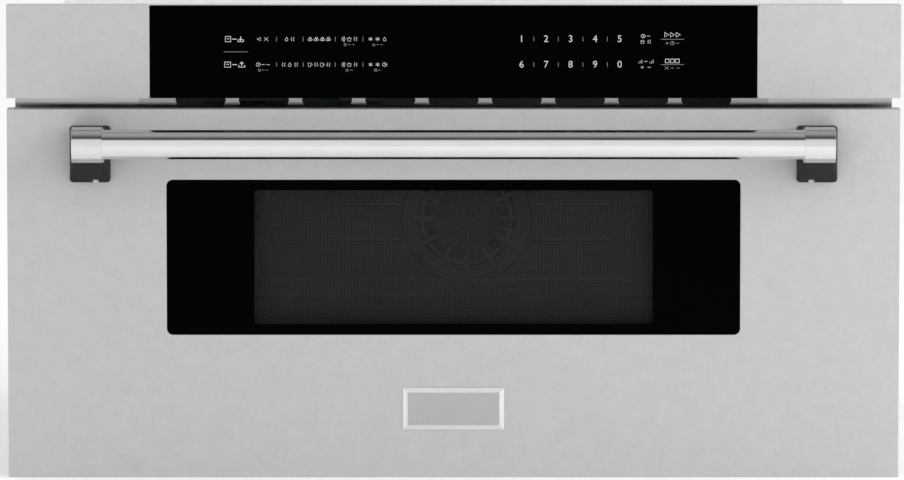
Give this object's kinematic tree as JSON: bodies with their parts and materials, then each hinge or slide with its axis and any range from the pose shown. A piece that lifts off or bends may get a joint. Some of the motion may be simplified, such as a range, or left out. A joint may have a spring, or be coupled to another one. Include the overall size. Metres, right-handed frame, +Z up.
{
  "type": "microwave drawer",
  "caption": "Built-in microwave oven in a motorised pull-out drawer, with a bar handle, window and touch panel above.",
  "frame": {"origin": "centre line of the casing's underside at the plane of the cabinet's face", "axes": "+X to the user's right, +Y into the cabinet, +Z up"},
  "size_m": [0.7588, 0.6795, 0.4032],
  "materials": {
    "brushed_stainless": "cross-brushed",
    "handle_stainless": "satin polished",
    "bright_screw": "bright zinc",
    "housing_steel": "plain rolled",
    "galvanised_steel": "galvanised",
    "door_liner_enamel": "satin grey enamel",
    "cavity_paint": "satin grey cavity paint",
    "black_glass": "black printed glass",
    "tray_glass": "clear tempered",
    "black_plastic": "fine texture",
    "white_plastic": "moulded",
    "screen_metal": "black perforated",
    "slide_zinc": "bright zinc",
    "acetal": "moulded",
    "motor_steel": "zinc plated",
    "aluminium": "as pressed",
    "transformer_iron": "varnished laminations",
    "circuit_board": "solder mask",
    "lamp_housing": "plated"
  },
  "bodies": {
    "chassis": {"base_plate": "galvanised_steel", "side_panel_left": "galvanised_steel", "side_panel_right": "galvanised_steel", "top_cover": "galvanised_steel", "rear_panel": "galvanised_steel", "face_frame": "housing_steel", "vent_strip": "housing_steel", "cavity_wrap": "cavity_paint", "cavity_rear_wall": "cavity_paint", "rear_fan_guard": "cavity_paint", "fan_motor": "motor_steel", "stirrer_cover": "white_plastic", "stirrer_motor": "motor_steel", "waveguide": "galvanised_steel", "magnetron": "aluminium", "bay_shelf_left": "galvanised_steel", "bay_shelf_right": "galvanised_steel", "transformer": "transformer_iron", "capacitor": "aluminium", "cooling_shroud": "galvanised_steel", "power_board": "circuit_board", "oven_lamp": "lamp_housing", "control_housing": "housing_steel", "end_panel_left": "brushed_stainless", "end_panel_right": "brushed_stainless", "control_glass": "black_glass", "drawer_motor": "motor_steel", "drive_bracket": "galvanised_steel", "slide_outers": "slide_zinc", "interlock_switch": "black_plastic", "cord_gland": "black_plastic", "chassis_screws": "bright_screw"},
    "drawer": {"door_skin": "brushed_stainless", "door_frame": "door_liner_enamel", "window_glass": "black_glass", "window_mask": "black_plastic", "door_screen": "screen_metal", "choke_frame": "door_liner_enamel", "choke_cover": "black_plastic", "handle_bar": "handle_stainless", "handle_post_left": "handle_stainless", "handle_post_right": "handle_stainless", "handle_screws": "bright_screw", "badge_plate": "brushed_stainless", "tray_pan": "cavity_paint", "tray_glass": "tray_glass", "slide_inner_left": "slide_zinc", "slide_inner_right": "slide_zinc", "door_angles": "galvanised_steel", "rack": "acetal", "interlock_hook": "black_plastic"},
    "slide_middle_left": {"slide_middle_left": "slide_zinc"},
    "slide_middle_right": {"slide_middle_right": "slide_zinc"},
    "ball_cages_outer": {"ball_cages_outer": "slide_zinc"},
    "ball_cages_inner": {"ball_cages_inner": "slide_zinc"},
    "pinion": {"pinion": "acetal"},
    "stirrer": {"stirrer": "aluminium"},
    "circulation_fan": {"circulation_fan": "aluminium"},
    "cooling_fan": {"cooling_fan": "white_plastic"},
    "switch_plunger": {"switch_plunger": "white_plastic"}
  },
  "joints": [
    {"name": "drawer_slide", "type": "slide", "parent": "chassis", "child": "drawer", "axis": [0, -1, 0], "range_m": [0, 0.4]},
    {"name": "slide_middle_left_run", "type": "slide", "parent": "chassis", "child": "slide_middle_left", "axis": [0, -1, 0], "range_m": [0, 0.2]},
    {"name": "slide_middle_right_run", "type": "slide", "parent": "chassis", "child": "slide_middle_right", "axis": [0, -1, 0], "range_m": [0, 0.2]},
    {"name": "ball_cages_outer_run", "type": "slide", "parent": "chassis", "child": "ball_cages_outer", "axis": [0, -1, 0], "range_m": [0, 0.1]},
    {"name": "ball_cages_inner_run", "type": "slide", "parent": "chassis", "child": "ball_cages_inner", "axis": [0, -1, 0], "range_m": [0, 0.3]},
    {"name": "pinion_spin", "type": "hinge", "parent": "chassis", "child": "pinion", "pos_m": [0, 0.03, 0.0315], "axis": [1, 0, 0], "range_deg": [-1530, 2]},
    {"name": "stirrer_spin", "type": "hinge", "parent": "chassis", "child": "stirrer", "pos_m": [0, 0.225, 0.28], "axis": [0, 0, 1], "continuous": true},
    {"name": "circulation_fan_spin", "type": "hinge", "parent": "chassis", "child": "circulation_fan", "pos_m": [0.012, 0.45, 0.167], "axis": [0, 1, 0], "continuous": true},
    {"name": "cooling_fan_spin", "type": "hinge", "parent": "chassis", "child": "cooling_fan", "pos_m": [0.285, 0.33, 0.2], "axis": [0, 1, 0], "continuous": true},
    {"name": "switch_plunger_press", "type": "slide", "parent": "chassis", "child": "switch_plunger", "axis": [0, 1, 0], "range_m": [0, 0.0012], "stiffness_N_per_m": 150, "springref_m": -0.002}
  ],
  "couplings": [
    {"joint": "slide_middle_left_run", "follows": "drawer_slide", "ratio": 0.5},
    {"joint": "slide_middle_right_run", "follows": "drawer_slide", "ratio": 0.5},
    {"joint": "ball_cages_outer_run", "follows": "drawer_slide", "ratio": 0.25},
    {"joint": "ball_cages_inner_run", "follows": "drawer_slide", "ratio": 0.75},
    {"joint": "pinion_spin", "follows": "drawer_slide", "rad_per_m": -66.667}
  ]
}
